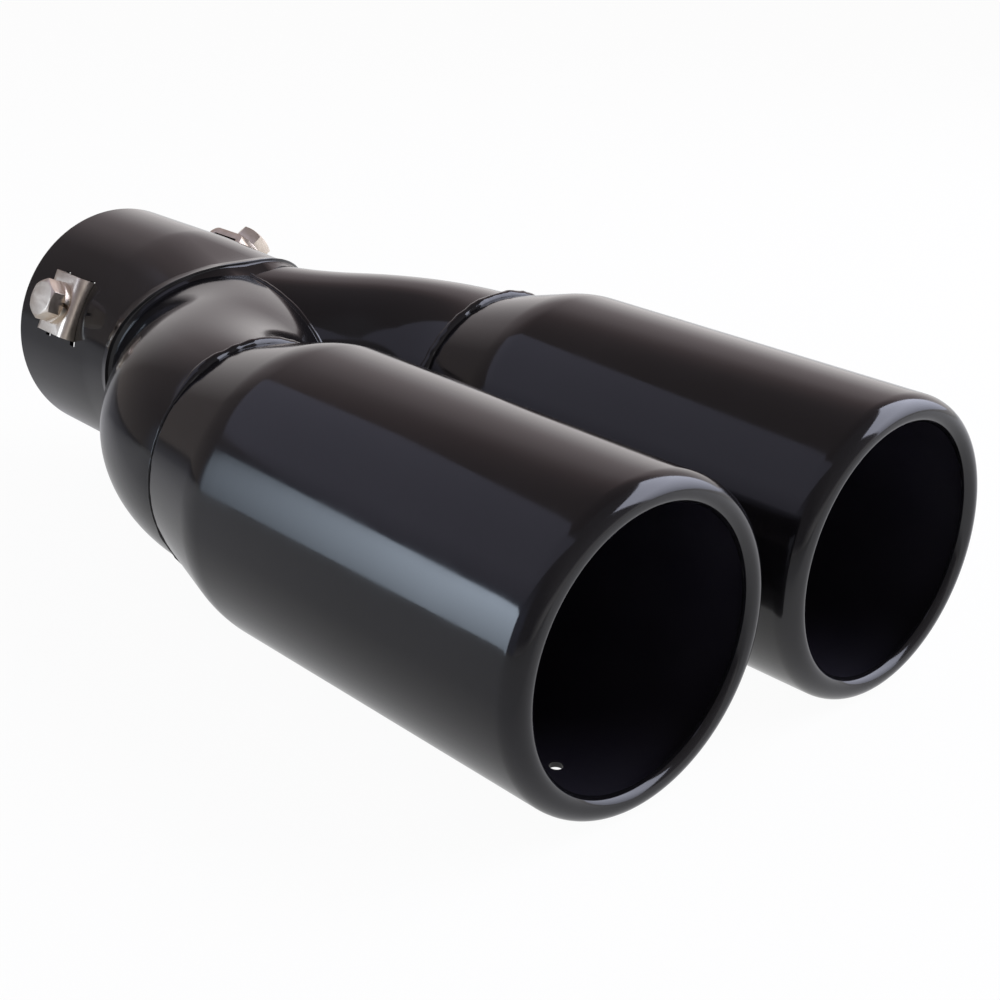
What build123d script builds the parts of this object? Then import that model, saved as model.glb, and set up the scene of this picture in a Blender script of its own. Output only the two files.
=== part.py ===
"""Twin-outlet exhaust tip: an inlet collar, two S-bent branch pipes and two outlets with rolled-in lips.

Millimetres, +Z up. The origin is the centre of the collar's mouth. The collar opens towards +Y and the
outlets towards -Y. Left is -X and right is +X.
"""
from build123d import *
from math import acos, atan, cos, degrees, pi, radians, sin, sqrt, tan
import os

# Inlet collar
inlet_bore = 63.5
collar_wall = 1.2
collar_round_length = 33.5
collar_press_length = 28.5
collar_side_length = 48.0
collar_top_length = 63.0

# Branch pipes
branch_od = 57.0
branch_wall = 1.5
branch_fit = 0.5
branch_lead = 4.0
branch_bend_start = 48.5
branch_bend_radius = 48.0
branch_middle_length = 3.0

# Outlets
outlet_spacing = 78.0
outlet_od = 70.0
outlet_wall = 1.2
outlet_length = 126.0
cone_length = 25.0
cone_blend_radius = 31.0
lip_width = 5.85
lip_outer_depth = 5.0
lip_inner_depth = 2.3
lip_crest_inset = 3.7
drain_hole_diameter = 3.0
drain_hole_setback = 22.0

# Weld beads
outlet_bead_radius = 1.8
outlet_bead_arc = 290.0
mitre_bead_throat = 1.4
collar_bead_height = 0.8
collar_bead_width = 2.0
collar_bead_overlap = 2.0

# Bridge clips, with their bolts and spring washers
clip_spacing_angle = 120.0
clip_turn = 6.0
clip_station = 22.0
clip_length = 15.0
clip_width = 17.0
clip_thickness = 2.0
clip_gap = 1.0
clip_bend_radius = 1.7
slot_side_room = 2.5
slot_clearance = 0.2
bore_clearance = 0.1
bolt_diameter = 6.0
bolt_thread_clearance = 0.05
bolt_hole_clearance = 1.0
bolt_tip_clearance = 0.5
bolt_head_across_flats = 10.0
bolt_head_height = 4.0
bolt_face_diameter = 9.4
bolt_chamfer_angle = 30.0
washer_diameter = 11.8
washer_bore_clearance = 0.2
washer_thickness = 1.6
washer_split = 1.0
washer_split_lean = 20.0

# Sizes that follow from the ones above
bore_radius = inlet_bore / 2
collar_radius = bore_radius + collar_wall
press_end = collar_round_length + collar_press_length
branch_radius = branch_od / 2
seat_radius = branch_radius + branch_fit
outlet_radius = outlet_od / 2
outlet_x = outlet_spacing / 2
# The pressed end of the collar keeps the girth of the round tube
branch_offset = pi * (inlet_bore - 2 * seat_radius) / 4
# Both bends and the run between them carry a pipe out from the collar to its outlet's axis
bends_width = 2 * branch_bend_radius
bends_cosine = (bends_width - outlet_x + branch_offset) / sqrt(bends_width ** 2 + branch_middle_length ** 2)
bend = acos(bends_cosine) - atan(branch_middle_length / bends_width)
bend_shift = branch_bend_radius * (1 - cos(bend))
bend_advance = branch_bend_radius * sin(bend)
seam_y = -branch_bend_start - 2 * bend_advance - branch_middle_length * cos(bend)
lip_y = seam_y - outlet_length
reach = 2 * (outlet_spacing + outlet_od)
clip_top = collar_radius + clip_gap + clip_thickness
clip_leg_middle = (clip_length - clip_thickness) / 2
bolt_seat = clip_top + washer_thickness
sides = {"left": -1, "right": 1}
# Directions of the clips about the collar's axis, from +X towards +Z
lower_angle = clip_turn - 90
clip_angles = {
    "left": lower_angle - clip_spacing_angle,
    "right": lower_angle + clip_spacing_angle,
    "lower": lower_angle,
}


def station(distance):
    """Plane square to the collar at a distance from its mouth, with X across and Z up."""
    return Plane.XZ.offset(distance)


def round_outline(radius):
    """Circle in four arcs, so that its corners match those of the pressed outline."""
    height = sqrt(radius ** 2 - branch_offset ** 2)
    right = ThreePointArc((branch_offset, -height), (radius, 0), (branch_offset, height))
    top = ThreePointArc((branch_offset, height), (0, radius), (-branch_offset, height))
    left = ThreePointArc((-branch_offset, height), (-radius, 0), (-branch_offset, -height))
    bottom = ThreePointArc((-branch_offset, -height), (0, -radius), (branch_offset, -height))
    return make_face([right, top, left, bottom])


def pressed_outline(radius):
    """Two half circles on the pipes' centres, joined by flats."""
    right = ThreePointArc((branch_offset, -radius), (branch_offset + radius, 0), (branch_offset, radius))
    top = Line((branch_offset, radius), (-branch_offset, radius))
    left = ThreePointArc((-branch_offset, radius), (-branch_offset - radius, 0), (-branch_offset, -radius))
    bottom = Line((-branch_offset, -radius), (branch_offset, -radius))
    return make_face([right, top, left, bottom])


def collar_form(grow):
    """The collar's bore as a solid form, grown by a wall, with its front still uncut."""
    tube = extrude(station(0) * Circle(bore_radius + grow), amount=collar_round_length)
    mouth_side = station(collar_round_length) * round_outline(bore_radius + grow)
    pipe_side = station(press_end) * pressed_outline(seat_radius + grow)
    front_length = collar_top_length + 2 * collar_bead_width - press_end
    return tube + loft([mouth_side, pipe_side]) + extrude(pipe_side, amount=front_length)


def fish_mouth(ahead=0.0):
    """Cross cylinder that shapes the collar's front edge, moved ahead of that edge."""
    rise = collar_top_length - collar_side_length
    half_height = seat_radius + collar_wall
    radius = (rise ** 2 + half_height ** 2) / (2 * rise)
    return Pos(0, -collar_side_length - radius - ahead, 0) * Rot(0, 90, 0) * Cylinder(radius, reach)


def behind_edge():
    """Everything on the mouth's side of the collar's front edge."""
    length = 2 * collar_top_length
    return Box(outlet_spacing, length, outlet_od) - fish_mouth()


def branch_path(side):
    """Centre line of a branch pipe: lead, bend out, middle run, bend back to the outlet's axis."""
    half_shift = branch_bend_radius * (1 - cos(bend / 2))
    half_advance = branch_bend_radius * sin(bend / 2)
    first = Vector(side * branch_offset, -branch_bend_start)
    second = first + Vector(side * bend_shift, -bend_advance)
    last = Vector(side * outlet_x, seam_y)
    third = last - Vector(side * bend_shift, -bend_advance)
    runs = [
        Line(first + Vector(0, branch_lead), first),
        ThreePointArc(first, first + Vector(side * half_shift, -half_advance), second),
        Line(second, third),
        ThreePointArc(third, last - Vector(side * half_shift, -half_advance), last),
    ]
    return Wire(runs)


def branch_rod(side, radius):
    """Solid rod along a branch pipe's centre line."""
    path = branch_path(side)
    section = Plane(path @ 0, (1, 0, 0), path % 0) * Circle(radius)
    return sweep(section, path=path)


def branch_pipe(side):
    """S-bent tube, cut off where it meets its twin and dressed to slide into the collar."""
    tube = branch_rod(side, branch_radius)
    tube -= branch_rod(side, branch_radius - branch_wall)
    twin_side = Pos(-side * reach / 2, seam_y, 0) * Box(reach, reach, reach)
    return tube - twin_side - (behind_edge() - collar_form(-branch_fit / 2))


def clip_frame(angle):
    """Plane on the collar's axis at the clips' station: X along the axis and Z out through the clip."""
    outward = (cos(radians(angle)), 0, sin(radians(angle)))
    return Plane((0, -clip_station, 0), (0, 1, 0), outward)


def inlet_collar():
    """Tube pressed from round to oval, with its fish-mouthed edge, clip slots and bolt holes."""
    collar = collar_form(collar_wall) - collar_form(0) - fish_mouth()
    depth = collar_radius / 2
    slot = Box(clip_thickness + 2 * slot_clearance, clip_width + 2 * slot_side_room, depth)
    hole = Cylinder(bolt_diameter / 2 + bolt_hole_clearance, depth)
    for angle in clip_angles.values():
        frame = clip_frame(angle)
        for end in (-1, 1):
            collar -= frame * Pos(end * clip_leg_middle, 0, collar_radius) * slot
        collar -= frame * Pos(0, 0, collar_radius) * hole
    return collar


def outlet_wall_line(inset):
    """Corners of the neck cone, its blend and the barrel, at a depth inside the outer surface."""
    slope = atan((outlet_radius - branch_radius) / cone_length)
    arc_radius = cone_blend_radius - inset
    arc_x = outlet_radius - cone_blend_radius
    arc_y = seam_y - cone_length - cone_blend_radius * tan(slope / 2)
    barrel = (arc_x + arc_radius, arc_y)
    middle = (arc_x + arc_radius * cos(slope / 2), arc_y + arc_radius * sin(slope / 2))
    cone = (arc_x + arc_radius * cos(slope), arc_y + arc_radius * sin(slope))
    neck = (cone[0] - (seam_y - cone[1]) * tan(slope), seam_y)
    return neck, cone, middle, barrel


def outlet(side):
    """Spun shell, turned about the outlet's own axis: neck cone, barrel, rolled-in lip and a drain hole."""
    neck, cone, middle, barrel = outlet_wall_line(0)
    neck_in, cone_in, middle_in, barrel_in = outlet_wall_line(outlet_wall)
    wall = outlet_wall
    opening = outlet_radius - lip_width
    crest = outlet_radius - lip_crest_inset
    lip_start = lip_y + lip_outer_depth
    hem = lip_y + lip_inner_depth
    outer_centre = (crest, lip_start)
    inner_centre = (crest, hem)
    edges = [
        Line(neck, cone),
        ThreePointArc(cone, middle, barrel),
        Line(barrel, (outlet_radius, lip_start)),
        EllipticalCenterArc(outer_centre, lip_crest_inset, lip_outer_depth, 270, arc_size=90),
        EllipticalCenterArc(inner_centre, crest - opening, lip_inner_depth, 180, arc_size=90),
        Line((opening, hem), (opening + wall, hem)),
        EllipticalCenterArc(inner_centre, crest - opening - wall, lip_inner_depth - wall, 180, arc_size=90),
        EllipticalCenterArc(outer_centre, lip_crest_inset - wall, lip_outer_depth - wall, 270, arc_size=90),
        Line((outlet_radius - wall, lip_start), barrel_in),
        ThreePointArc(barrel_in, middle_in, cone_in),
        Line(cone_in, neck_in),
        Line(neck_in, neck),
    ]
    drain = Pos(0, lip_y + drain_hole_setback, -outlet_radius)
    drain = drain * Cylinder(drain_hole_diameter / 2, outlet_radius)
    return Pos(side * outlet_x, 0, 0) * (revolve(make_face(edges), Axis.Y) - drain)


def outlet_weld(side):
    """Round bead at the neck seam, run round the inner side and ground flush on the outer side."""
    ground_half = (360 - outlet_bead_arc) / 2
    start = ground_half if side > 0 else ground_half + 180
    bead = revolve(Pos(branch_radius, seam_y) * Circle(outlet_bead_radius), Axis.Y, outlet_bead_arc)
    neck, cone, _, _ = outlet_wall_line(0)
    cone_form = revolve(make_face(Polyline((0, seam_y), neck, cone, (0, cone[1]), close=True)), Axis.Y)
    seat = Pos(side * outlet_x, 0, 0)
    return seat * (Rot(0, start, 0) * bead - cone_form) - branch_rod(side, branch_radius)


def branch_weld():
    """Filler in the groove along the mitre, ahead of the collar's bead, made as two mirrored halves."""
    right_side = Pos(reach / 2, seam_y, 0) * Box(reach, reach, reach)
    half = branch_rod(sides["left"], branch_radius + mitre_bead_throat) & right_side
    half = (half - branch_rod(sides["right"], branch_radius)) & fish_mouth(collar_bead_width)
    return half + mirror(half, Plane.YZ)


def collar_weld():
    """Raised bead over the collar's front edge, down to both pipes."""
    band = fish_mouth(-collar_bead_overlap) - fish_mouth(collar_bead_width)
    bead = collar_form(collar_wall + collar_bead_height) & band
    bead -= collar_form(collar_wall) - fish_mouth()
    for side in sides.values():
        bead -= branch_rod(side, branch_radius)
    return bead


def clip(angle):
    """U-shaped sheet bridge: its legs reach through the slots to the bore, and its top is tapped."""
    outer = Rectangle(clip_length, clip_top, align=(Align.CENTER, Align.MIN))
    outer = fillet(outer.vertices().group_by(Axis.Y)[-1], clip_bend_radius + clip_thickness)
    inner_size = (clip_length - 2 * clip_thickness, clip_top - clip_thickness)
    inner = Rectangle(*inner_size, align=(Align.CENTER, Align.MIN))
    inner = fillet(inner.vertices().group_by(Axis.Y)[-1], clip_bend_radius)
    bridge = extrude(Plane.XZ * (outer - inner), amount=clip_width / 2, both=True)
    bridge -= Rot(0, 90, 0) * Cylinder(bore_radius + bore_clearance, 2 * clip_length)
    bridge -= Pos(0, 0, clip_top) * Cylinder(bolt_diameter / 2 + bolt_thread_clearance, 4 * clip_thickness)
    return clip_frame(angle) * bridge


def bolt(angle):
    """Hex bolt with a chamfered head, its tip drawn back out of the bore."""
    hexagon = RegularPolygon(bolt_head_across_flats / 2, 6, major_radius=False)
    head = extrude(Pos(0, 0, bolt_seat) * hexagon, amount=bolt_head_height)
    face_radius = bolt_face_diameter / 2
    base_radius = face_radius + bolt_head_height / tan(radians(bolt_chamfer_angle))
    taper = Cone(base_radius, face_radius, bolt_head_height, align=(Align.CENTER, Align.CENTER, Align.MIN))
    head = head & Pos(0, 0, bolt_seat) * taper
    tip = bore_radius + bolt_tip_clearance
    shank = Cylinder(bolt_diameter / 2, bolt_seat - tip, align=(Align.CENTER, Align.CENTER, Align.MIN))
    return clip_frame(angle) * (head + Pos(0, 0, tip) * shank)


def spring_washer(angle):
    """Split ring between the bolt head and the clip."""
    middle = clip_top + washer_thickness / 2
    ring = Cylinder(washer_diameter / 2, washer_thickness)
    ring -= Cylinder(bolt_diameter / 2 + washer_bore_clearance, 2 * washer_thickness)
    split = Pos(-washer_diameter / 2, 0, 0) * Rot(washer_split_lean, 0, 0)
    ring -= split * Box(washer_diameter, washer_split, 4 * washer_thickness)
    return clip_frame(angle) * Pos(0, 0, middle) * ring


def all_pieces():
    """Every piece of the tip by the name of its node."""
    pieces = {"inlet_collar": inlet_collar(), "collar_weld": collar_weld(), "branch_weld": branch_weld()}
    for name, side in sides.items():
        pieces[name + "_branch_pipe"] = branch_pipe(side)
        pieces[name + "_outlet"] = outlet(side)
        pieces[name + "_outlet_weld"] = outlet_weld(side)
    for name, angle in clip_angles.items():
        pieces[name + "_clip"] = clip(angle)
        pieces[name + "_bolt"] = bolt(angle)
        pieces[name + "_spring_washer"] = spring_washer(angle)
    return pieces


os.makedirs("parts", exist_ok=True)
for node, solid in all_pieces().items():
    export_step(solid, "parts/" + node + ".step")
print("bends", round(degrees(bend), 2), "degrees, seam at", round(seam_y, 2), "lip at", round(lip_y, 2))
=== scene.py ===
# %% [markdown]
# A twin exhaust tip in gloss black
# This lesson dresses a twin-outlet exhaust tip: a clamped collar, a Y of bent pipes and two outlets with
# rolled-in lips. The solids that hold its sizes are loaded first. They could be shown as they are, with a
# better material, but gloss black mirrors the room and shows every facet of a coarse mesh. Each solid is
# therefore replaced by a finer mesh in the same place.

# %% Load the frame
from math import acos, atan, cos, exp, pi, radians, sin, sqrt, tan

import bmesh
import bpy
from mathutils import Matrix, Vector, noise


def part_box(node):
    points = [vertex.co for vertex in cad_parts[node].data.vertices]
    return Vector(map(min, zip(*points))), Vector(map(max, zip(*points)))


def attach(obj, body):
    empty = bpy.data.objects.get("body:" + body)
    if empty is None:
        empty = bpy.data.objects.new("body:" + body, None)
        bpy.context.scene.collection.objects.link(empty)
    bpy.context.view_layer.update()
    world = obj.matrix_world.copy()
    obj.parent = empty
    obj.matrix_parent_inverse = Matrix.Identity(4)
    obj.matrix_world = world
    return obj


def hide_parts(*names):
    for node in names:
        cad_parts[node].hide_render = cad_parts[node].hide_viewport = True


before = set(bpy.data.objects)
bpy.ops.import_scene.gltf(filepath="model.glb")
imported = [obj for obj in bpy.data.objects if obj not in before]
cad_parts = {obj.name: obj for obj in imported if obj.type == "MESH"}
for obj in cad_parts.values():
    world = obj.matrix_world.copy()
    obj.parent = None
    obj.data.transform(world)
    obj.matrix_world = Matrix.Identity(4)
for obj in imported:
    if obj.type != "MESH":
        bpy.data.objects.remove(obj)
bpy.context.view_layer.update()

MM = 0.001
TOUCH = 0.01 * MM        # points nearer than this are taken as one place
SIDES = {"left": -1, "right": 1}
print("nodes in the frame:", len(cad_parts))

# %% [markdown]
# Helpers for working as by hand
# An operator acts on all that is selected, and loading leaves the solids selected. Each step could clear the
# selection by itself, but one forgotten line would then change a solid. The first helper therefore clears
# it, and whatever picks or adds a piece starts with that.

# %% Selecting
def fresh():
    """Goes to object mode with nothing selected."""
    if bpy.context.mode != "OBJECT":
        bpy.ops.object.mode_set(mode="OBJECT")
    bpy.ops.object.select_all(action="DESELECT")


def pick(piece):
    """Makes a piece the only one selected."""
    fresh()
    piece.select_set(True)
    bpy.context.view_layer.objects.active = piece


def settle(piece, name):
    """Names a piece and moves its place, turn and scale into its mesh."""
    pick(piece)
    piece.name = name
    piece.data.name = name
    bpy.ops.object.transform_apply(location=True, rotation=True, scale=True)
    return piece


def new_piece(name):
    """Settles the primitive that was just added."""
    return settle(bpy.context.object, name)


def edit_all():
    """Goes into edit mode with all of the active piece selected."""
    bpy.ops.object.mode_set(mode="EDIT")
    bpy.ops.mesh.select_all(action="SELECT")


print("selected after loading:", len(bpy.context.selected_objects))
fresh()


# %% Plain forms
def cylinder(name, points, radius, depth, centre, turn=(0, 0, 0)):
    """Adds a cylinder, which stands along Z before its turn."""
    fresh()
    bpy.ops.mesh.primitive_cylinder_add(vertices=points, radius=radius, depth=depth, location=centre,
                                        rotation=turn)
    return new_piece(name)


def block(name, centre, size, turn=(0, 0, 0)):
    """Adds a block."""
    fresh()
    bpy.ops.mesh.primitive_cube_add(size=1, location=centre, rotation=turn)
    bpy.context.object.scale = size
    return new_piece(name)


def sheet(name, centre, size, turn=(0, 0, 0)):
    """Adds a flat rectangle, which lies level before its turn."""
    fresh()
    bpy.ops.mesh.primitive_plane_add(size=1, location=centre, rotation=turn)
    bpy.context.object.scale = (*size, 1)
    return new_piece(name)


# %% Applying, cutting and joining
def finish_with(piece, kind, **settings):
    """Adds a modifier, sets it up and applies it."""
    pick(piece)
    modifier = piece.modifiers.new(kind.title(), kind)
    for key, value in settings.items():
        setattr(modifier, key, value)
    bpy.ops.object.modifier_apply(modifier=modifier.name)


def cut_with(piece, cutter, operation="DIFFERENCE"):
    """Cuts a piece with another mesh, which is then thrown away."""
    finish_with(piece, "BOOLEAN", object=cutter, operation=operation, solver="EXACT")
    bpy.data.objects.remove(cutter)


def round_edges(piece, width, sharpest):
    """Bevels the edges of a piece that are sharper than an angle in degrees."""
    finish_with(piece, "BEVEL", width=width, segments=3, limit_method="ANGLE", angle_limit=radians(sharpest))


def join(pieces):
    """Joins pieces into the first one."""
    pick(pieces[0])
    for piece in pieces:
        piece.select_set(True)
    bpy.ops.object.join()
    return pieces[0]


def smooth(piece, angle=35):
    """Shades a piece smooth, apart from edges sharper than an angle in degrees."""
    pick(piece)
    bpy.ops.object.shade_smooth_by_angle(angle=radians(angle))


# %% [markdown]
# Tubes ring by ring
# The collar, the pipes and the outlets are tubes. A tube could be a curve with a bevel, but such a tube can't
# turn from round to oval or roll in at its end. Here a circle is extruded ring by ring, and a new ring can be
# scaled to its radius. The faces then lie in even rows, which a mirror-like coat needs.

# %% Drawing tubes
RING = 256


def start_ring(name, radius, centre):
    """Adds a circle square to the Y axis and goes into edit mode with all of it selected."""
    fresh()
    bpy.ops.mesh.primitive_circle_add(vertices=RING, radius=radius, location=centre, rotation=(pi / 2, 0, 0))
    piece = new_piece(name)
    edit_all()
    return piece


def extrude(step):
    """Extrudes what is selected by a step."""
    bpy.ops.mesh.extrude_region_move(TRANSFORM_OT_translate={"value": step})


def draw_profile(profile, x=0.0):
    """Extrudes the selected ring through a list of (radius, y), about an axis along Y."""
    for (radius_from, y_from), (radius_to, y_to) in zip(profile, profile[1:]):
        extrude((0, y_to - y_from, 0))
        scale = radius_to / radius_from
        bpy.ops.transform.resize(value=(scale, 1, scale), center_override=(x, y_to, 0))


def close_seams():
    """Merges doubled points and turns all faces outwards, in edit mode."""
    bpy.ops.mesh.select_all(action="SELECT")
    bpy.ops.mesh.remove_doubles(threshold=0.1 * TOUCH)
    bpy.ops.mesh.normals_make_consistent(inside=False)


def shares(count):
    """Even shares from just above 0 to 1."""
    return [(i + 1) / count for i in range(count)]


print("a ring has", RING, "points")

# %% [markdown]
# Gloss black coat
# The tip is coated in gloss black that is a little blue in cool light. One flat black could do from far off,
# but a real coat is uneven. So slow noise changes its tone, finer noise changes its gloss, and a weak bump
# gives it a faint orange peel. The inside has a duller coat, which keeps the outlets dark. Its lighter,
# bluer tone is painted light: it stands in for the little light that reaches inside. The noise is on
# Object coordinates: it needs no unwrapping and stays with the piece.

# %% Nodes for surfaces
NOISE_LOW = 0.3
NOISE_HIGH = 0.7


def new_material(name):
    """New material, with its nodes, its links and its main shader."""
    material = bpy.data.materials.new(name)
    material.use_nodes = True
    nodes = material.node_tree.nodes
    return material, nodes, material.node_tree.links, nodes["Principled BSDF"]


def object_place(nodes):
    """Place on the piece."""
    return nodes.new("ShaderNodeTexCoord").outputs["Object"]


def noise_value(nodes, links, scale, detail=3.0, stretch=(1, 1, 1)):
    """Noise with its scale in waves per metre."""
    mapping = nodes.new("ShaderNodeMapping")
    mapping.inputs["Scale"].default_value = stretch
    pattern = nodes.new("ShaderNodeTexNoise")
    pattern.inputs["Scale"].default_value = scale
    pattern.inputs["Detail"].default_value = detail
    links.new(object_place(nodes), mapping.inputs["Vector"])
    links.new(mapping.outputs["Vector"], pattern.inputs["Vector"])
    return pattern.outputs["Fac"]


def number_range(nodes, links, value, lowest, highest, at_lowest, at_highest):
    """Maps a number from one range to another and keeps it there."""
    mapped = nodes.new("ShaderNodeMapRange")
    mapped.inputs["From Min"].default_value = lowest
    mapped.inputs["From Max"].default_value = highest
    mapped.inputs["To Min"].default_value = at_lowest
    mapped.inputs["To Max"].default_value = at_highest
    links.new(value, mapped.inputs["Value"])
    return mapped.outputs["Result"]


# %% Tone, gloss and bump of a surface
def vary_colour(nodes, links, shader, pattern, dark, light, dark_at=0.35, light_at=0.65):
    """Colours a surface between two tones by a pattern."""
    ramp = nodes.new("ShaderNodeValToRGB")
    for stop, position, colour in zip(ramp.color_ramp.elements, (dark_at, light_at), (dark, light)):
        stop.position = position
        stop.color = (*colour, 1)
    links.new(pattern, ramp.inputs["Fac"])
    links.new(ramp.outputs["Color"], shader.inputs["Base Color"])


def vary_gloss(nodes, links, shader, pattern, smoothest, roughest):
    """Makes a surface more and less glossy by a pattern."""
    rough = number_range(nodes, links, pattern, NOISE_LOW, NOISE_HIGH, smoothest, roughest)
    links.new(rough, shader.inputs["Roughness"])


def add_bump(nodes, links, shader, pattern, height, strength=0.25):
    """Bump from a pattern, with its height in metres."""
    bump = nodes.new("ShaderNodeBump")
    bump.inputs["Strength"].default_value = strength
    bump.inputs["Distance"].default_value = height
    links.new(pattern, bump.inputs["Height"])
    links.new(bump.outputs["Normal"], shader.inputs["Normal"])


# %% Coat materials
def coat_material(name, dark, light, smoothest, roughest, peel_height):
    """Painted coat: near black with slow changes of tone, uneven gloss and a fine orange peel."""
    material, nodes, links, shader = new_material(name)
    vary_colour(nodes, links, shader, noise_value(nodes, links, scale=28.0), dark, light)
    vary_gloss(nodes, links, shader, noise_value(nodes, links, scale=90.0, detail=4.0), smoothest, roughest)
    add_bump(nodes, links, shader, noise_value(nodes, links, scale=420.0, detail=2.0), peel_height)
    shader.inputs["IOR"].default_value = 1.5
    return material


black_coat = coat_material("gloss_black_coat", dark=(0.0045, 0.0042, 0.005), light=(0.0075, 0.007, 0.0078),
                           smoothest=0.07, roughest=0.13, peel_height=0.012 * MM)
# dull coat inside; its lighter, bluer tone is painted light for the little light that reaches inside
inner_coat_painted_light = coat_material("dull_black_inside_painted_light", dark=(0.012, 0.0108, 0.0165), light=(0.018, 0.016, 0.024),
                           smoothest=0.4, roughest=0.55, peel_height=0.05 * MM)
print("coats:", black_coat.name, inner_coat_painted_light.name)

# %% [markdown]
# Bright steel
# The clips, bolts and spring washers are bare steel, a warm beige and a little worn. A clean mirror would
# look new and cold, so blotches change its tone. Fine lines from rolling run along the sheet. They come
# from noise that is stretched along Y, which is quicker than drawing lines and never repeats.

# %% Steel material
def steel_material(name, dark, light, stretch):
    """Bare steel with drawn lines along its stretch and uneven gloss."""
    material, nodes, links, shader = new_material(name)
    vary_colour(nodes, links, shader, noise_value(nodes, links, scale=260.0, detail=5.0), dark, light)
    lines = noise_value(nodes, links, scale=900.0, stretch=stretch)
    vary_gloss(nodes, links, shader, lines, smoothest=0.28, roughest=0.4)
    add_bump(nodes, links, shader, lines, height=0.006 * MM)
    shader.inputs["Metallic"].default_value = 1.0
    return material


bright_steel = steel_material("bare_steel", dark=(0.66, 0.58, 0.49), light=(0.8, 0.71, 0.605),
                              stretch=(1, 0.15, 1))
print("steel:", bright_steel.name)

# %% [markdown]
# Outlets
# Each outlet is one spun shell: a neck cone that opens out, a straight barrel and a lip that rolls in. A
# profile could be spun about its axis. Extruding a ring along the profile gives the same shell with no seam
# to merge. Solidify then gives the sheet its thickness, and a small cylinder cuts the drain hole.

# %% Sizes of the outlets
low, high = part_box("right_outlet")
outlet_radius = (high.z - low.z) / 2
outlet_x = (low.x + high.x) / 2
seam_y = high.y
lip_y = low.y
low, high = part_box("right_branch_pipe")
branch_radius = high.z
branch_start_y = high.y
outlet_wall = 1.2 * MM
cone_length = 25.0 * MM
cone_blend_radius = 31.0 * MM
lip_width = 5.85 * MM
lip_outer_depth = 5.0 * MM
lip_inner_depth = 2.3 * MM
lip_crest_inset = 3.7 * MM
HOLE_POINTS = 48
drain_hole_radius = 1.5 * MM
drain_hole_setback = 22.0 * MM
print("outlet radius", round(outlet_radius / MM, 2), "mm, seam at", round(seam_y / MM, 2), "mm")

# %% Outlet profile
CONE_RINGS = 6
BLEND_RINGS = 10
BARREL_RINGS = 24
LIP_RINGS = 14
HEM_RINGS = 12


def outlet_profile():
    """Radius and Y of each ring on the outer surface, from the neck seam to the hem inside the lip."""
    slope = atan((outlet_radius - branch_radius) / cone_length)
    blend_y = seam_y - cone_length - cone_blend_radius * tan(slope / 2)
    blend_x = outlet_radius - cone_blend_radius
    crest = outlet_radius - lip_crest_inset
    opening = outlet_radius - lip_width
    lip_start = lip_y + lip_outer_depth
    hem = lip_y + lip_inner_depth
    cone_end = (blend_x + cone_blend_radius * cos(slope), blend_y + cone_blend_radius * sin(slope))
    profile = [(branch_radius, seam_y)]
    for share in shares(CONE_RINGS):
        radius = branch_radius + share * (cone_end[0] - branch_radius)
        profile.append((radius, seam_y + share * (cone_end[1] - seam_y)))
    for share in shares(BLEND_RINGS):
        angle = slope * (1 - share)
        profile.append((blend_x + cone_blend_radius * cos(angle), blend_y + cone_blend_radius * sin(angle)))
    for share in shares(BARREL_RINGS):
        profile.append((outlet_radius, blend_y + share * (lip_start - blend_y)))
    for share in shares(LIP_RINGS):
        angle = share * pi / 2
        profile.append((crest + lip_crest_inset * cos(angle), lip_start - lip_outer_depth * sin(angle)))
    for share in shares(HEM_RINGS):
        angle = share * pi / 2
        profile.append((crest - (crest - opening) * sin(angle), hem - lip_inner_depth * cos(angle)))
    return profile


print("outlet profile has", len(outlet_profile()), "rings")


# %% Walls, coats and handing over
def thicken_coated(piece, thickness, offset):
    """Gives a sheet its thickness, with the gloss coat on the drawn side and the dull coat on the new one."""
    piece.data.materials.append(black_coat)
    piece.data.materials.append(inner_coat_painted_light)
    finish_with(piece, "SOLIDIFY", thickness=thickness, offset=offset, use_even_offset=True,
                material_offset=1)
    dull = [face for face in piece.data.polygons if face.material_index == 1]
    print(piece.name, "has", len(dull), "dull faces")


def hand_over(piece, node, material=None):
    """Lets a finished piece stand for its solid, with a material if it has none yet."""
    if material:
        piece.data.materials.append(material)
    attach(piece, "root")
    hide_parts(node)
    print(node, "has", len(piece.data.polygons), "faces")


# %% Draw the outlets
def outlet(name, side):
    """Outlet shell with its lip, its wall and its drain hole."""
    x = side * outlet_x
    profile = outlet_profile()
    shell = start_ring(name, profile[0][0], (x, seam_y, 0))
    draw_profile(profile, x)
    close_seams()
    thicken_coated(shell, outlet_wall, -1)
    hole = (x, lip_y + drain_hole_setback, -outlet_radius)
    cut_with(shell, cylinder("drain_hole_cutter", HOLE_POINTS, drain_hole_radius, outlet_radius, hole))
    smooth(shell)
    return shell


for side_name, side in SIDES.items():
    hand_over(outlet(side_name + "_outlet_shell", side), side_name + "_outlet")

# %% [markdown]
# Inlet collar
# The collar is a round tube pressed slowly to an oval of the same girth where it takes the two pipes. Each
# ring could be worked out by a formula. Drawing only the round end and the oval end and bridging them is
# closer to the press, and the bridge blends smoothly into both. A cross cylinder then cuts the fish-mouthed
# edge, and small cutters make the slots and the bolt holes.

# %% Sizes of the collar
low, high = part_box("inlet_collar")
collar_radius = high.z
collar_front_y = low.y
collar_wall = 1.2 * MM
collar_round_length = 33.5 * MM
collar_press_end = 62.0 * MM
collar_side_length = 48.0 * MM
collar_front_room = 5.0 * MM
branch_fit = 0.5 * MM
bore_radius = collar_radius - collar_wall
seat_radius = branch_radius + branch_fit
branch_offset = pi * (bore_radius - seat_radius) / 2
print("pipes lie", round(branch_offset / MM, 2), "mm off the middle")

# %% Draw the collar
ROUND_RINGS = 24
PRESS_RINGS = 64
FRONT_RINGS = 12
press_smoothness = 0.6


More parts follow.
